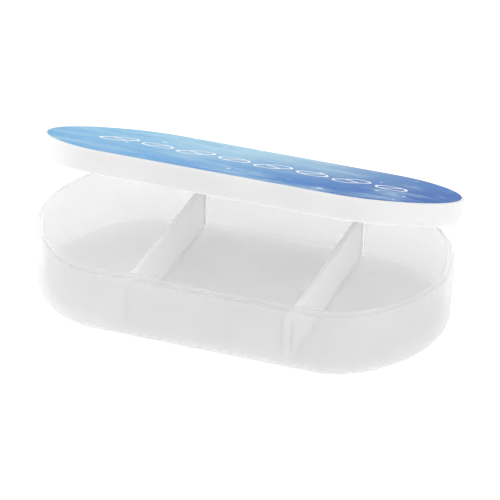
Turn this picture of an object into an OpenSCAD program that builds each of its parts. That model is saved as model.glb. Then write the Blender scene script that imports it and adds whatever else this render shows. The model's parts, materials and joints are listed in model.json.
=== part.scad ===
// Oval three-compartment pill box with a hinged, labelled lid.
// Origin: centre of the tray's underside. X runs along the box, +Y is the hinge side, +Z is up.
// The lid is drawn turned open by lid_open about the hinge pins.

/* [Tray] */
// Length of the tray along X
body_l = 90; // [76:0.5:110]
// Width of the tray along Y
body_w = 53.2; // [46:0.2:66]
// Height of the tray up to the ledge that carries the lid
tray_h = 13.6; // [11:0.2:24]
// Plan radius of the four shoulders
shoulder_r = 15.6; // [12:0.2:20]
// Thickness of the floor
floor_t = 1.1; // [0.8:0.1:2]
// Width of the ledge outside the lip
ledge_w = 0.9; // [0.7:0.05:1.4]
// Thickness of the locating lip
lip_t = 0.8; // [0.6:0.05:1.4]
// Height of the locating lip above the ledge
lip_h = 1.0; // [0.6:0.1:1.6]
// How far the outer wall leans in towards the foot
outer_lean = 0.24; // [0:0.02:0.6]
// How far the inner wall leans in towards the floor
inner_lean = 0.3; // [0:0.05:0.6]
// Fillet round the foot
foot_r = 1.76; // [0.6:0.02:2.4]
// Fillet between the inner wall and the floor
cove_r = 1.1; // [0.5:0.1:1.6]
// Radius of the moulding gate's round mark in the floor
gate_r = 1.4; // [0.8:0.1:2]
// Depth of the gate mark
gate_d = 0.3; // [0.1:0.05:0.4]
// Distance of the gate mark behind the middle of the box
gate_y = 16; // [10:0.5:17]

/* [Dividers] */
// Distance of each divider from the middle of the box
divider_x = 18.06; // [13:0.02:21]
// Thickness of a divider
divider_t = 1.4; // [1:0.1:2]
// Height of a divider's top above the table
divider_top = 10.4; // [7:0.1:10.5]
// Width that the foot of a divider spreads to
divider_foot_w = 2.17; // [2:0.01:3]
// How far a guide channel stands in from the wall
guide_out = 1.1; // [0.8:0.1:1.6]
// Width of a guide channel's cheek on each side of the divider
guide_cheek = 0.6; // [0.5:0.05:1]
// Clearance between a divider and its guide channel
guide_gap = 0.05; // [0.03:0.01:0.15]

/* [Lid] */
// Height of the lid, from the ledge to its top
lid_h = 4.8; // [4:0.1:8]
// Thickness of the lid's top
lid_top_t = 1.3; // [0.9:0.1:2]
// How far the lid stands out past the tray
lid_over = 0.2; // [0:0.05:0.5]
// Gap between the closed lid and the ledge
lid_gap = 0.05; // [0.03:0.01:0.2]
// Gap between the lid's skirt and the tray's lip
lip_gap = 0.15; // [0.13:0.01:0.3]
// Rounding of the lid's top edge
lid_edge_r = 0.5; // [0.2:0.05:0.6]
// Angle by which the lid stands open
lid_open = 21.5; // [0:0.5:90]

/* [Label] */
// Plain border between the label and the edge of the lid
label_border = 0.71; // [0.65:0.01:3]
// Thickness of the label
label_t = 0.12; // [0.08:0.01:0.3]

/* [Hinge] */
// Distance of the pin's axis behind the tray
hinge_out = 3.1; // [2.9:0.1:5]
// Depth of the pin's axis below the ledge
hinge_drop = 2.5; // [2.4:0.1:4]
// Distance of each hinge from the middle of the box
hinge_x = 19; // [14:0.5:22]
// Radius of the knuckles
knuckle_r = 2.3; // [2:0.1:2.6]
// Width of the lid's knuckle
lid_knuckle_w = 4.6; // [3:0.1:8]
// Width of each of the tray's two knuckles
tray_knuckle_w = 2.4; // [1.5:0.1:4]
// Side play between neighbouring knuckles
knuckle_gap = 0.2; // [0.1:0.05:0.4]
// Radius of the hinge pins
pin_r = 1.0; // [0.7:0.05:1.3]
// Running clearance round a pin in the lid's knuckle
pin_gap = 0.05; // [0.02:0.01:0.1]

/* [Catch and finger rests] */
// Length of the catch bead at the middle of the front lip
bead_l = 12; // [6:0.5:20]
// How far the catch bead stands out of the lip
bead_out = 0.12; // [0.08:0.01:0.12]
// Width of a finger rest in the lid's skirt
rest_w = 8.4; // [5:0.1:12]
// Height of a finger rest
rest_h = 1.3; // [0.6:0.1:1.6]
// Depth of a finger rest
rest_d = 0.4; // [0.15:0.05:0.4]
// Place along X of the finger rest in the straight front
front_rest_x = -11.8; // [-16:0.2:16]
// Direction of the corner finger rest, seen from the centre of the end arc
corner_rest_angle = -35.4; // [-42:0.2:-20]

/* [Hidden] */
$fn = 96;
fillet_steps = 6;
zone_h = 4 * (tray_h + lid_h);
lip_round = 0.25;
half_l = body_l / 2;
half_w = body_w / 2;
wall_t = ledge_w + lip_t;
// Plan outline: straight sides, four shoulder arcs and two end arcs, all tangent where they meet.
// A shoulder meets its end along a 3-4-5 direction, which keeps the centres of all the arcs round numbers.
blend = [0.6, 0.8];
shoulder_y = half_w - shoulder_r;
end_r = shoulder_r + shoulder_y / blend.y;
end_x = half_l - end_r;
shoulder_x = end_x + (end_r - shoulder_r) * blend.x;
inner_reach = wall_t + inner_lean + cove_r;
strip = inner_reach + 1;
inner_half_w = half_w - wall_t;
skirt_in = ledge_w - lip_gap;
lid_z = tray_h + lid_gap;
lid_top_z = tray_h + lid_h;
lid_strip = skirt_in + lid_edge_r + 1;
hinge_y = half_w + hinge_out;
hinge_z = tray_h - hinge_drop;
station_w = lid_knuckle_w + 2 * knuckle_gap + 2 * tray_knuckle_w;
guide_w = divider_t + 2 * guide_gap + 2 * guide_cheek;
divider_half = inner_half_w - inner_lean;
gate_x = divider_x + divider_foot_w / 2 + gate_r + 2.5;
translucent = [0.93, 0.94, 0.94];
lid_white = [0.96, 0.97, 0.97];
label_blue = [0.42, 0.63, 0.80];
steel = [0.72, 0.73, 0.75];

// Points of a round corner about c, from angle a to angle b
function corner(c, r, a, b) =
    [for (i = [0 : fillet_steps]) c + r * [cos(a + (b - a) * i / fillet_steps), sin(a + (b - a) * i / fillet_steps)]];

// Column over the part of the plan that belongs to the +X end arc
module end_zone() {
    far = [end_x, 0] + 2 * end_r * blend;
    translate([0, 0, -zone_h / 2]) linear_extrude(zone_h)
        polygon([[shoulder_x, shoulder_y], far, [far.x, -far.y], [shoulder_x, -shoulder_y]]);
}

// Column over the part of the plan that belongs to the +X +Y shoulder arc
module shoulder_zone() {
    far = [end_x, 0] + 2 * end_r * blend;
    translate([0, 0, -zone_h / 2]) linear_extrude(zone_h)
        polygon([[shoulder_x, shoulder_y], [shoulder_x, far.y], far]);
}

// Carries a wall section, drawn as [distance out from the outline, height], round the whole outline
module around() {
    for (side = [0, 1]) mirror([side, 0, 0]) {
        intersection() {
            translate([end_x, 0]) rotate_extrude() translate([end_r, 0]) children();
            end_zone();
        }
        for (half = [0, 1]) mirror([0, half, 0]) intersection() {
            translate([shoulder_x, shoulder_y]) rotate_extrude() translate([shoulder_r, 0]) children();
            shoulder_zone();
        }
    }
    for (side = [0, 180]) rotate(side) translate([-shoulder_x, half_w]) rotate([90, 0, 90])
        linear_extrude(2 * shoulder_x) children();
}

// Flat plate with the plan outline drawn in by inset
module plate(inset, z, h) {
    for (side = [0, 1]) mirror([side, 0, 0]) {
        intersection() {
            translate([end_x, 0, z]) cylinder(r = end_r - inset, h = h);
            end_zone();
        }
        for (half = [0, 1]) mirror([0, half, 0]) intersection() {
            translate([shoulder_x, shoulder_y, z]) cylinder(r = shoulder_r - inset, h = h);
            shoulder_zone();
        }
    }
    translate([-shoulder_x, inset - half_w, z]) cube([2 * shoulder_x, 2 * (half_w - inset), h]);
}

// Section of the tray's wall, ledge and lip, with a strip of floor
module tray_section() {
    polygon(concat(
        [[-strip, 0]],
        corner([-outer_lean - foot_r, foot_r], foot_r, -90, 0),
        [[0, tray_h], [-ledge_w, tray_h]],
        corner([-ledge_w - lip_round, tray_h + lip_h - lip_round], lip_round, 0, 90),
        corner([-wall_t + lip_round, tray_h + lip_h - lip_round], lip_round, 90, 180),
        corner([-inner_reach, floor_t + cove_r], cove_r, 0, -90),
        [[-strip, floor_t]]));
}

// Section of the lid's skirt, with a strip of its top
module lid_section() {
    under_z = lid_top_z - lid_top_t;
    polygon(concat(
        [[-skirt_in, lid_z], [lid_over, lid_z]],
        corner([lid_over - lid_edge_r, lid_top_z - lid_edge_r], lid_edge_r, 0, 90),
        [[-lid_strip, lid_top_z], [-lid_strip, under_z]],
        corner([-skirt_in - lid_edge_r, under_z - lid_edge_r], lid_edge_r, 90, 0)));
}

// Turns what is drawn for the closed lid to the angle at which it stands
module opened() {
    translate([0, hinge_y, hinge_z]) rotate([-lid_open, 0, 0]) translate([0, -hinge_y, -hinge_z]) children();
}

// Cylinder along X about the hinge axis, starting at x
module hinge_rod(x, length, r) {
    translate([x, hinge_y, hinge_z]) rotate([0, 90, 0]) cylinder(r = r, h = length);
}

// Web drawn in the YZ plane, from x and width w along X
module web(x, w) {
    translate([x, 0, 0]) rotate([90, 0, 90]) linear_extrude(w) children();
}

// Upright pad on both long walls that holds the ends of a divider
module guide(x) {
    for (side = [0, 180]) rotate(side)
        translate([(side == 0 ? x : -x) - guide_w / 2, inner_half_w - inner_lean - guide_out, floor_t / 2])
            cube([guide_w, guide_out + inner_lean + lip_t / 2, divider_top - floor_t / 2]);
}

// Room for a divider, which stands on the floor
module divider_room(x) {
    translate([x - divider_t / 2 - guide_gap, -divider_half - guide_gap, floor_t])
        cube([divider_t + 2 * guide_gap, 2 * (divider_half + guide_gap), tray_h]);
}

// The tray's two knuckles at one hinge, each on a web that runs down the back wall
module tray_knuckles(x) {
    for (start = [x - station_w / 2, x + station_w / 2 - tray_knuckle_w]) {
        hinge_rod(start, tray_knuckle_w, knuckle_r);
        web(start, tray_knuckle_w) polygon([
            [half_w - ledge_w, hinge_z + hinge_drop - 1],
            [half_w - ledge_w, hinge_z - 2 * knuckle_r],
            [hinge_y + knuckle_r * cos(-50), hinge_z + knuckle_r * sin(-50)],
            [hinge_y, hinge_z + knuckle_r * 0.6]]);
    }
}

// The lid's knuckle at one hinge, with the arm that joins it to the skirt
module lid_knuckle(x) {
    start = x - lid_knuckle_w / 2;
    hinge_rod(start, lid_knuckle_w, knuckle_r);
    web(start, lid_knuckle_w) polygon([
        [half_w + lid_over + 0.1, lid_z],
        [half_w - skirt_in / 2, lid_z],
        [half_w - skirt_in / 2, lid_top_z - lid_edge_r - 0.3],
        [half_w + lid_over, lid_top_z - lid_edge_r - 0.3],
        [hinge_y + knuckle_r * cos(35), hinge_z + knuckle_r * sin(35)],
        [hinge_y, hinge_z],
        [hinge_y - knuckle_r * cos(15), hinge_z + knuckle_r * sin(15)]]);
}

// Low arch that rises from the lower edge of the skirt, drawn as a rod along -Y from the origin
module rest_arch(length) {
    arch_r = (pow(rest_w / 2, 2) + pow(rest_h, 2)) / (2 * rest_h);
    translate([0, 0, lid_z + rest_h - arch_r]) rotate([90, 0, 0]) cylinder(r = arch_r, h = length);
}

// Cut for the finger rest in the straight front
module front_rest() {
    translate([front_rest_x, rest_d - half_w - lid_over, 0]) rest_arch(2);
}

// Cut for the finger rest in the end arc, equally deep all along the curve
module corner_rest() {
    translate([end_x, 0, 0]) difference() {
        rotate(corner_rest_angle + 90) translate([0, 2 - end_r, 0]) rest_arch(4);
        translate([0, 0, -zone_h / 2]) cylinder(r = end_r + lid_over - rest_d, h = zone_h);
    }
}

// Catch bead on the front lip, grown by extra for its groove
module catch_bead(extra) {
    bead_r = lip_h * 0.3;
    translate([-bead_l / 2 - extra, -(half_w - ledge_w) + bead_r - bead_out - extra, tray_h + lip_h / 2])
        rotate([0, 90, 0]) cylinder(r = bead_r, h = bead_l + 2 * extra, $fn = 32);
}

module tray() {
    color(translucent) difference() {
        union() {
            around() tray_section();
            plate(strip - 0.5, 0, floor_t);
            for (x = [-divider_x, divider_x]) guide(x);
            for (x = [-hinge_x, hinge_x]) tray_knuckles(x);
            catch_bead(0);
        }
        for (x = [-divider_x, divider_x]) divider_room(x);
        for (x = [-hinge_x, hinge_x]) hinge_rod(x - station_w, 2 * station_w, pin_r);
        translate([gate_x, gate_y, floor_t - gate_d]) cylinder(r = gate_r, h = gate_d + 1);
    }
}

module divider(x) {
    foot = (divider_foot_w - divider_t) / 2;
    top_r = divider_t / 4;
    color(translucent) translate([x, 0, 0]) union() {
        translate([0, divider_half, 0]) rotate([90, 0, 0]) linear_extrude(2 * divider_half) polygon(concat(
            [[-divider_t / 2, floor_t], [divider_t / 2, floor_t]],
            corner([divider_t / 2 - top_r, divider_top - top_r], top_r, 0, 90),
            corner([-divider_t / 2 + top_r, divider_top - top_r], top_r, 90, 180)));
        translate([0, divider_half - guide_out - guide_gap, 0]) rotate([90, 0, 0])
            linear_extrude(2 * (divider_half - guide_out - guide_gap)) polygon(concat(
                [[-divider_foot_w / 2, floor_t], [divider_foot_w / 2, floor_t]],
                corner([divider_foot_w / 2, floor_t + foot], foot, 270, 180),
                corner([-divider_foot_w / 2, floor_t + foot], foot, 0, -90)));
    }
}

module left_divider() {
    divider(-divider_x);
}

module right_divider() {
    divider(divider_x);
}

module lid() {
    color(lid_white) opened() difference() {
        union() {
            around() lid_section();
            plate(lid_strip - 0.5, lid_top_z - lid_top_t, lid_top_t);
            for (x = [-hinge_x, hinge_x]) lid_knuckle(x);
        }
        for (x = [-hinge_x, hinge_x]) hinge_rod(x - station_w, 2 * station_w, pin_r + pin_gap);
        front_rest();
        corner_rest();
        catch_bead(0.03);
    }
}

module lid_label() {
    color(label_blue) opened() plate(label_border - lid_over, lid_top_z, label_t);
}

module hinge_pin(x) {
    color(steel) hinge_rod(x - station_w / 2, station_w, pin_r);
}

module hinge_pin_left() {
    hinge_pin(-hinge_x);
}

module hinge_pin_right() {
    hinge_pin(hinge_x);
}

tray();
left_divider();
right_divider();
lid();
lid_label();
hinge_pin_left();
hinge_pin_right();
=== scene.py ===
"""Looks for an oval three-compartment pill box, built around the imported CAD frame.

The tray, dividers, lid, label and pins are the CAD nodes. This script gives them
their materials, prints a generic tablet-and-capsule motif on the label, and sets up
a white floor, soft light and the camera.
"""
import json
import math

import bmesh
import bpy
from mathutils import Matrix, Vector


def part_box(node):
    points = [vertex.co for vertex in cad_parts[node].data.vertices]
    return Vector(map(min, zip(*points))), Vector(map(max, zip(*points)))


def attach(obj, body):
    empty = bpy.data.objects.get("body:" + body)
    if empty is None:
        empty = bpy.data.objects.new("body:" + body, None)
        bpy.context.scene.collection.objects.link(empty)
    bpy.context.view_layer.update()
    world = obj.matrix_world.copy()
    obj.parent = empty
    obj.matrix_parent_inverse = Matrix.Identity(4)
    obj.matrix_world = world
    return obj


MM = 0.001
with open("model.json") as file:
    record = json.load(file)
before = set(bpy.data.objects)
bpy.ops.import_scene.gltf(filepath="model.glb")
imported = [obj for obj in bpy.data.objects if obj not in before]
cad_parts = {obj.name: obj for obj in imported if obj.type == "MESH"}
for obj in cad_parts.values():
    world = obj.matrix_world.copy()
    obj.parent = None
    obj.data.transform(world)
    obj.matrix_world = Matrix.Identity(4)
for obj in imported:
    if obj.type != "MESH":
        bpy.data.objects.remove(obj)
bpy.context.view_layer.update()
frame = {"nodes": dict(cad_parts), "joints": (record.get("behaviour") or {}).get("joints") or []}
NODES = frame["nodes"]
JOINT = next(j for j in frame["joints"] if j["name"] == "lid_hinge")
HINGE = Vector(JOINT["pos_m"])
LID_OPEN = -math.radians(JOINT["range_deg"][0])
TRAY_LOW, TRAY_HIGH = (Vector(c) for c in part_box("tray"))
HALF_L = TRAY_HIGH.x
HALF_W = HALF_L * 0.59
# heights above the table when the lid is closed
LID_TOP = 18.4 * MM
LABEL_TOP = 18.52 * MM
WHITE = (1.0, 1.0, 1.0, 1.0)


# ---------------------------------------------------------------- node helpers

class Tree:
    """A material's node tree, with short calls for the nodes that are used here."""

    def __init__(self, name):
        self.material = bpy.data.materials.new(name)
        self.material.use_nodes = True
        self.nodes = self.material.node_tree.nodes
        self.links = self.material.node_tree.links
        self.shader = self.nodes["Principled BSDF"]

    def put(self, socket, value):
        """Links value to socket if it is an output, or sets it."""
        if isinstance(value, bpy.types.NodeSocket):
            self.links.new(value, socket)
        else:
            socket.default_value = value

    def node(self, kind, **inputs):
        made = self.nodes.new(kind)
        for name, value in inputs.items():
            self.put(made.inputs[name.replace("_", " ")], value)
        return made

    def math(self, operation, *values, clamp=False):
        made = self.nodes.new("ShaderNodeMath")
        made.operation = operation
        made.use_clamp = clamp
        for socket, value in zip(made.inputs, values):
            self.put(socket, value)
        return made.outputs[0]

    def smooth(self, value, low, high):
        """0 below low, 1 above high, smooth between."""
        made = self.nodes.new("ShaderNodeMapRange")
        made.interpolation_type = "SMOOTHSTEP"
        self.put(made.inputs["Value"], value)
        self.put(made.inputs["From Min"], low)
        self.put(made.inputs["From Max"], high)
        return made.outputs["Result"]

    def mix(self, factor, a, b, blend="MIX"):
        made = self.nodes.new("ShaderNodeMix")
        made.data_type = "RGBA"
        made.blend_type = blend
        self.put(made.inputs["Factor"], factor)
        self.put(made.inputs["A"], a)
        self.put(made.inputs["B"], b)
        return made.outputs["Result"]

    def noise(self, vector, scale, detail=2.0, roughness=0.5):
        made = self.node("ShaderNodeTexNoise", Vector=vector, Scale=scale,
                         Detail=detail, Roughness=roughness)
        return made.outputs["Fac"]

    def local(self):
        """Place on the piece in metres, which rides along when the piece moves."""
        return self.nodes.new("ShaderNodeTexCoord").outputs["Object"]

    def bump(self, height, distance, strength=1.0):
        made = self.node("ShaderNodeBump", Height=height, Distance=distance, Strength=strength)
        return made.outputs["Normal"]


def rgb(r, g, b):
    """Linear colour from sRGB values of 0 to 255."""
    def linear(v):
        v /= 255
        return v / 12.92 if v <= 0.04045 else ((v + 0.055) / 1.055) ** 2.4
    return (linear(r), linear(g), linear(b), 1.0)


def dress(node, tree):
    """Gives a CAD node its material."""
    NODES[node].data.materials.clear()
    NODES[node].data.materials.append(tree.material)


# ---------------------------------------------------------------- plastics

def frosted_plastic(name, colour, cloud_colour, cover, scatter):
    """Moulded polypropylene: milky, finely etched, with light that scatters inside it.

    cover is the share of the view that each surface hides, so two walls, a rib or an
    edge look milkier than one wall. scatter is how far light goes inside the plastic.
    """
    t = Tree(name)
    place = t.local()
    cloud = t.noise(place, 60.0, 3.0)
    tint = t.mix(t.smooth(cloud, 0.35, 0.65), colour, cloud_colour)
    t.put(t.shader.inputs["Base Color"], tint)
    t.put(t.shader.inputs["Roughness"], t.math("MULTIPLY_ADD", cloud, 0.16, 0.42))
    t.shader.inputs["Specular IOR Level"].default_value = 0.2
    t.shader.inputs["Subsurface Weight"].default_value = 1.0
    t.shader.inputs["Subsurface Radius"].default_value = (1.0, 1.0, 1.0)
    t.shader.inputs["Subsurface Scale"].default_value = scatter
    t.shader.inputs["Alpha"].default_value = cover
    t.shader.inputs["IOR"].default_value = 1.49
    etch = t.noise(place, 2600.0, 2.0)
    t.put(t.shader.inputs["Normal"], t.bump(etch, 0.02 * MM, 0.4))
    return t


def wire_steel(name):
    """Drawn stainless wire, with fine lines along its length."""
    t = Tree(name)
    dark, bright = (0.50, 0.51, 0.53, 1.0), (0.68, 0.69, 0.71, 1.0)
    stretch = t.node("ShaderNodeMapping", Vector=t.local(), Scale=(200.0, 4000.0, 4000.0))
    lines = t.noise(stretch.outputs[0], 1.0, 2.0)
    t.put(t.shader.inputs["Base Color"], t.mix(lines, dark, bright))
    t.shader.inputs["Metallic"].default_value = 1.0
    t.put(t.shader.inputs["Roughness"], t.math("MULTIPLY_ADD", lines, 0.2, 0.22))
    t.put(t.shader.inputs["Normal"], t.bump(lines, 0.01 * MM, 0.5))
    return t


# ---------------------------------------------------------------- label

def lid_plane(t):
    """Place on the label in metres, as if the lid were closed."""
    turned = t.nodes.new("ShaderNodeVectorRotate")
    turned.rotation_type = "X_AXIS"
    t.put(turned.inputs["Vector"], t.local())
    turned.inputs["Center"].default_value = HINGE
    turned.inputs["Angle"].default_value = LID_OPEN
    return turned.outputs[0]


def printed_label(name):
    """Blue print on a white film.

    It is pale at the hinge side and deeper at one end, with patches, ripples and specks.
    """
    t = Tree(name)
    flat = lid_plane(t)
    axes = t.node("ShaderNodeSeparateXYZ", Vector=flat)
    along = t.math("DIVIDE", axes.outputs["X"], HALF_L)
    across = t.math("DIVIDE", axes.outputs["Y"], HALF_W)
    glow = t.smooth(across, -0.9, 0.9)
    deep = t.smooth(along, -0.35, 0.95)
    near = t.mix(t.smooth(along, -1.0, 0.6), rgb(130, 180, 220), rgb(112, 158, 210))
    far = t.mix(t.smooth(along, -0.9, 0.0), rgb(150, 196, 224), rgb(178, 212, 228))
    sky = t.mix(glow, near, far)
    sky = t.mix(t.math("MULTIPLY", deep, 0.88), sky, rgb(82, 110, 176))
    # broad patches, paler and greener, that run along the lid
    patches = t.node("ShaderNodeMapping", Vector=flat, Scale=(55.0, 95.0, 95.0))
    patch = t.noise(patches.outputs[0], 1.0, 4.0, 0.62)
    sky = t.mix(t.math("MULTIPLY", t.smooth(patch, 0.46, 0.70), 0.5), sky, rgb(184, 214, 226))
    sky = t.mix(t.math("MULTIPLY", t.smooth(patch, 0.48, 0.28), 0.45), sky, rgb(96, 146, 204))
    # fine ripples
    ripples = t.node("ShaderNodeMapping", Vector=flat, Scale=(260.0, 700.0, 700.0))
    ripple = t.noise(ripples.outputs[0], 1.0, 3.0, 0.6)
    sky = t.mix(t.math("MULTIPLY", t.smooth(ripple, 0.55, 0.75), 0.35), sky, rgb(212, 233, 240))
    # round specks
    specks = t.nodes.new("ShaderNodeTexVoronoi")
    t.put(specks.inputs["Vector"], flat)
    specks.inputs["Scale"].default_value = 190.0
    spot = t.smooth(specks.outputs["Distance"], 0.15, 0.08)
    lot = t.node("ShaderNodeSeparateXYZ", Vector=specks.outputs["Color"]).outputs["X"]
    chosen = t.math("GREATER_THAN", lot, 0.55)
    speck = t.math("MULTIPLY", t.math("MULTIPLY", spot, chosen), 0.8)
    sky = t.mix(speck, sky, rgb(240, 248, 252))
    # the film's underside is plain white
    backing = t.math("LESS_THAN", axes.outputs["Z"], LID_TOP + 0.02 * MM)
    t.put(t.shader.inputs["Base Color"], t.mix(backing, sky, rgb(250, 250, 250)))
    t.shader.inputs["Roughness"].default_value = 0.3
    t.shader.inputs["Specular IOR Level"].default_value = 0.0
    t.put(t.shader.inputs["Normal"], t.bump(t.noise(flat, 900.0), 0.01 * MM, 0.2))
    return t


def motif_shapes():
    """Outlines of tablets and capsules in a row along the label, in millimetres.

    Gives closed rings of (x, y) points, and open score lines.
    """
    rings, lines = [], []
    end_steps, tablet_steps = 12, 28

    def capsule(x, length, width, turn):
        r, half = width / 2, (length - width) / 2
        c, s = math.cos(math.radians(turn)), math.sin(math.radians(turn))

        def place(u, v):
            return (x + u * c - v * s, u * s + v * c)

        ring = []
        for middle, start in ((half, -90), (-half, 90)):
            for i in range(end_steps + 1):
                a = math.radians(start + 180 * i / end_steps)
                ring.append(place(middle + r * math.cos(a), r * math.sin(a)))
        rings.append(ring)
        lines.append([place(0, -r), place(0, r)])

    def tablet(x, width, turn):
        r = width / 2
        c, s = math.cos(math.radians(turn)), math.sin(math.radians(turn))
        angles = [math.tau * i / tablet_steps for i in range(tablet_steps)]
        rings.append([(x + r * math.cos(a), r * math.sin(a)) for a in angles])
        lines.append([(x - r * c, -r * s), (x + r * c, r * s)])

    first, pitch, count = -30, 8.6, 8
    for n in range(count):
        x = first + n * pitch
        if n % 2:
            tablet(x, width=6.4, turn=55)
        else:
            capsule(x, length=9.5, width=4.4, turn=62)
    return rings, lines


def motif():
    """The printed white motif: thin ribbons that lie on the label, in place of lettering."""
    width, lift, thick = 0.55, 0.02, 0.03
    mesh = bmesh.new()
    to_hinge, swing = Matrix.Translation(HINGE), Matrix.Rotation(-LID_OPEN, 4, "X")
    turn = to_hinge @ swing @ to_hinge.inverted()

    def ribbon(points, closed):
        count = len(points)
        sides = []
        for i, (x, y) in enumerate(points):
            before = points[i - 1] if closed or i else points[i]
            after = points[(i + 1) % count] if closed or i < count - 1 else points[i]
            along = (Vector(after) - Vector(before)).normalized()
            out = Vector((along.y, -along.x)) * width / 2
            made = []
            for side, z in ((out, 0), (out, thick), (-out, thick), (-out, 0)):
                spot = Vector((x + side.x, y + side.y, 0)) * MM
                spot.z = LABEL_TOP + (lift + z) * MM
                made.append(mesh.verts.new(turn @ spot))
            sides.append(made)
        for i in range(count if closed else count - 1):
            a, b = sides[i], sides[(i + 1) % count]
            for k in range(4):
                mesh.faces.new((a[k], a[(k + 1) % 4], b[(k + 1) % 4], b[k]))
        if not closed:
            mesh.faces.new(sides[0][::-1])
            mesh.faces.new(sides[-1])

    rings, lines = motif_shapes()
    for ring in rings:
        ribbon(ring, True)
    for line in lines:
        ribbon(line, False)
    bmesh.ops.recalc_face_normals(mesh, faces=mesh.faces)
    data = bpy.data.meshes.new("label_motif")
    mesh.to_mesh(data)
    mesh.free()
    print_ = bpy.data.objects.new("label_motif", data)
    bpy.context.collection.objects.link(print_)
    t = Tree("motif_white")
    coverage = t.smooth(t.noise(t.local(), 700.0, 3.0), 0.35, 0.6)
    t.put(t.shader.inputs["Base Color"], t.mix(coverage, rgb(238, 245, 250), rgb(252, 253, 254)))
    t.shader.inputs["Roughness"].default_value = 0.4
    t.shader.inputs["Specular IOR Level"].default_value = 0.0
    data.materials.append(t.material)
    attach(print_, "lid_body")


# ---------------------------------------------------------------- stage, light and camera

def floor():
    """A white floor, just under the tray so that the two faces don't share a plane."""
    gap = 0.05 * MM
    bpy.ops.mesh.primitive_plane_add(size=4.0, location=(0, 0, TRAY_LOW.z - gap))
    plane = bpy.context.object
    plane.name = "floor"
    t = Tree("floor_white")
    t.shader.inputs["Base Color"].default_value = (0.95, 0.95, 0.95, 1)
    t.shader.inputs["Roughness"].default_value = 0.9
    t.shader.inputs["Specular IOR Level"].default_value = 0.1
    t.shader.inputs["Emission Color"].default_value = WHITE
    t.shader.inputs["Emission Strength"].default_value = 0.22
    plane.data.materials.append(t.material)


def area_light(name, azimuth, elevation, distance, size, power):
    """A square soft light that looks at the box's middle."""
    data = bpy.data.lights.new(name, "AREA")
    data.size = size
    data.energy = power
    lamp = bpy.data.objects.new(name, data)
    bpy.context.collection.objects.link(lamp)
    a, e = math.radians(azimuth), math.radians(elevation)
    out = Vector((math.sin(a) * math.cos(e), -math.cos(a) * math.cos(e), math.sin(e)))
    lamp.location = out * distance
    lamp.rotation_euler = (-out).to_track_quat("-Z", "Y").to_euler()


def light():
    """White surroundings, with a soft light from each side."""
    world = bpy.data.worlds.new("world")
    bpy.context.scene.world = world
    world.use_nodes = True
    background = world.node_tree.nodes["Background"]
    background.inputs["Color"].default_value = WHITE
    background.inputs["Strength"].default_value = 1.0
    area_light("left", azimuth=-96, elevation=23, distance=0.9, size=0.6, power=1.7)
    area_light("right", azimuth=66, elevation=12, distance=0.9, size=0.5, power=0.6)


def camera():
    """A long lens from the front right, a little above."""
    azimuth, elevation, roll = (math.radians(v) for v in (18.555, 28.562, 1.714))
    target, aside, above = Vector((0, 0, 8)) * MM, 1.425 * MM, 2.294 * MM
    distance, lens, sensor = 668.4 * MM, 227.8, 36.0
    back = Vector((math.sin(azimuth) * math.cos(elevation),
                   -math.cos(azimuth) * math.cos(elevation),
                   math.sin(elevation)))
    level = Vector((math.cos(azimuth), math.sin(azimuth), 0))
    upright = back.cross(level)
    right = level * math.cos(roll) + upright * math.sin(roll)
    up = upright * math.cos(roll) - level * math.sin(roll)
    data = bpy.data.cameras.new("camera")
    data.lens = lens
    data.sensor_width = sensor
    data.clip_start, data.clip_end = 0.01, 10.0
    eye = bpy.data.objects.new("camera", data)
    bpy.context.collection.objects.link(eye)
    eye.matrix_world = Matrix((right, up, back)).transposed().to_4x4()
    eye.location = target + back * distance + right * aside + up * above
    bpy.context.scene.camera = eye


camera()
tray_plastic = frosted_plastic(
    "tray_plastic", rgb(222, 222, 222), rgb(218, 218, 218), cover=0.3, scatter=2.5 * MM)
# The dividers take a whiter, more covering copy of the same plastic than the tray: painted
# light, so that their faces read lighter than the shade under the lid leaves them.
divider_plastic = frosted_plastic(
    "divider_plastic", rgb(253, 253, 253), rgb(251, 251, 251), cover=0.92, scatter=1.5 * MM)
lid_plastic = frosted_plastic(
    "lid_plastic", rgb(228, 228, 228), rgb(224, 224, 224), cover=1.0, scatter=0.6 * MM)
dress("tray", tray_plastic)
dress("left_divider", divider_plastic)
dress("right_divider", divider_plastic)
dress("lid", lid_plastic)
dress("lid_label", printed_label("label_film"))
motif()
for pin in ("hinge_pin_left", "hinge_pin_right"):
    dress(pin, wire_steel(pin))
floor()
light()
bpy.context.scene.view_settings.view_transform = "Standard"
# light passes several see-through walls before it reaches the floor
cycles = bpy.context.scene.cycles
cycles.transparent_max_bounces = 32
cycles.max_bounces = 32
cycles.diffuse_bounces = 16
cycles.transmission_bounces = 32
